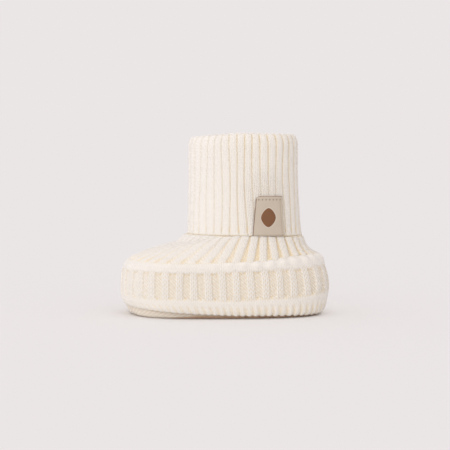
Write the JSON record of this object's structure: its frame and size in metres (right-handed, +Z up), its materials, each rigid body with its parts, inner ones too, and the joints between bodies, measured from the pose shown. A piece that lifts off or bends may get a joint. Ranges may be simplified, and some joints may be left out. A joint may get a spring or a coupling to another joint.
{
  "type": "baby bootie",
  "caption": "Soft knitted baby bootie with a ribbed turn-down cuff, a fan-ribbed vamp, a padded band with recessed panels, a flat sole and a sewn hem label.",
  "frame": {"origin": "on the floor under the middle of the bootie's length and width", "axes": "+X towards the toe, +Y towards the side that carries the label (the outer side of a left foot), +Z up"},
  "size_m": [0.104, 0.056, 0.0894],
  "materials": {
    "knit": "cream-white ribbed cotton knit, matt and slightly fuzzy",
    "sole_knit": "cream close-knit cotton, matt",
    "hide": "beige smooth leather with a dull sheen"
  },
  "bodies": {
    "root": {"upper": "knit", "cuff": "knit", "sole": "sole_knit", "insole": "sole_knit", "label": "hide"}
  },
  "joints": []
}
